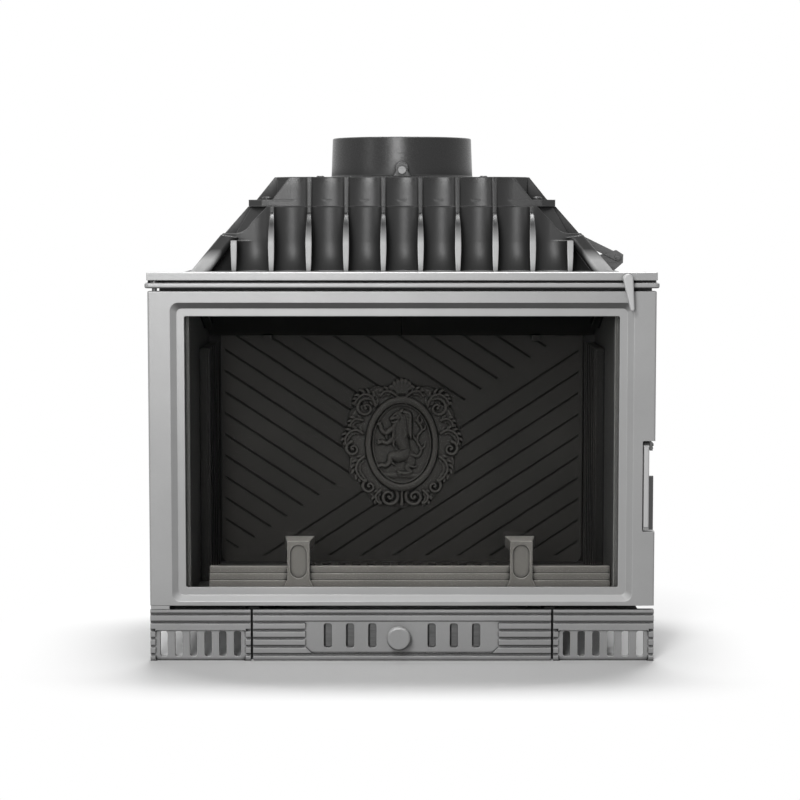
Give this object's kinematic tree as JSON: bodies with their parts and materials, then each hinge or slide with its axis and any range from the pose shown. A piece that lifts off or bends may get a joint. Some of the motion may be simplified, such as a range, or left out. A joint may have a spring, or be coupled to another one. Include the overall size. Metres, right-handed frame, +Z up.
{
  "type": "fireplace insert",
  "caption": "Closed cast-iron fireplace insert with a side-hung glass door, ribbed hood, round flue socket, damper lever and ash drawer.",
  "frame": {"origin": "on the floor, at the centre of the bounding box's bottom face, straight below the flue's axis", "axes": "+Z up along the flue, the door faces -Y, +X to the viewer's right when facing the door"},
  "size_m": [0.708, 0.45, 0.729],
  "materials": {
    "front_paint": "satin grey stove paint on cast iron",
    "plinth_paint": "darker satin grey stove paint, rubbed on the bands",
    "hood_iron": "dark graphite stove paint",
    "body_iron": "dark matt stove paint",
    "firebox_iron": "near-black cast surface",
    "guard_iron": "warm grey cast surface",
    "lever_steel": "satin light grey",
    "dark_steel": "blackened steel",
    "zinc_steel": "zinc plated",
    "pan_steel": "folded black sheet",
    "stove_glass": "clear ceramic glass",
    "seal_rope": "dark glass-fibre rope"
  },
  "bodies": {
    "root": {"back_wall": "body_iron", "baffle_supports": "firebox_iron", "base_plate": "body_iron", "collar_bolts": "hood_iron", "fire_grate": "firebox_iron", "fireback": "firebox_iron", "flue_collar": "hood_iron", "front_frame": "front_paint", "hood_flange_bolts": "hood_iron", "hood_lower": "hood_iron", "hood_upper": "hood_iron", "latch_keeper": "front_paint", "left_baffle": "firebox_iron", "left_bay_wall": "body_iron", "left_grille": "plinth_paint", "left_side_liner": "firebox_iron", "left_side_wall": "body_iron", "log_guard": "guard_iron", "lower_hinge_pin": "dark_steel", "rear_feet": "body_iron", "right_baffle": "firebox_iron", "right_bay_wall": "body_iron", "right_grille": "plinth_paint", "right_side_liner": "firebox_iron", "right_side_wall": "body_iron", "rod_bracket": "hood_iron", "top_plate": "body_iron", "upper_hinge_pin": "dark_steel"},
    "door": {"door_frame": "front_paint", "door_glass": "stove_glass", "glass_gasket": "seal_rope", "glass_clips": "zinc_steel", "clip_screws": "zinc_steel", "door_seal_rope": "seal_rope"},
    "handle": {"door_handle": "lever_steel", "latch_pawl": "dark_steel", "handle_pivot_pin": "dark_steel", "latch_cross_pin": "dark_steel"},
    "damper_control": {"damper_lever": "lever_steel", "damper_rod": "dark_steel", "rod_crank": "dark_steel", "link_bolt": "dark_steel"},
    "damper_link": {"damper_link": "dark_steel"},
    "flap": {"damper_flap": "dark_steel", "damper_axle": "dark_steel", "axle_crank": "dark_steel", "crank_pin": "dark_steel"},
    "ash_drawer": {"ash_drawer_front": "plinth_paint", "ash_pan": "pan_steel", "shutter_guides": "dark_steel"},
    "air_shutter": {"air_shutter": "dark_steel", "shutter_knob": "plinth_paint"}
  },
  "joints": [
    {"name": "door_hinge", "type": "hinge", "parent": "root", "child": "door", "pos_m": [-0.3408, -0.197, 0.3], "axis": [0, 0, -1], "range_deg": [0, 110]},
    {"name": "handle_pull", "type": "hinge", "parent": "door", "child": "handle", "pos_m": [0.338, -0.192, 0.301], "axis": [-1, 0, 0], "range_deg": [0, 30]},
    {"name": "damper_turn", "type": "hinge", "parent": "root", "child": "damper_control", "pos_m": [0.3087, 0, 0.531], "axis": [0, -1, 0], "range_deg": [0, 85]},
    {"name": "link_pivot", "type": "hinge", "parent": "damper_control", "child": "damper_link", "pos_m": [0.33203, 0.161, 0.55433], "axis": [0, -1, 0], "range_deg": [-85, 0]},
    {"name": "flap_turn", "type": "hinge", "parent": "root", "child": "flap", "pos_m": [0, 0, 0.6817], "axis": [0, -1, 0], "range_deg": [0, 85]},
    {"name": "drawer_slide", "type": "slide", "parent": "root", "child": "ash_drawer", "axis": [0, -1, 0], "range_m": [0, 0.24]},
    {"name": "shutter_slide", "type": "slide", "parent": "ash_drawer", "child": "air_shutter", "axis": [1, 0, 0], "range_m": [-0.0025, 0.0092]}
  ],
  "couplings": [
    {"joint": "flap_turn", "follows": "damper_turn", "ratio": 1},
    {"joint": "link_pivot", "follows": "damper_turn", "ratio": -1}
  ]
}
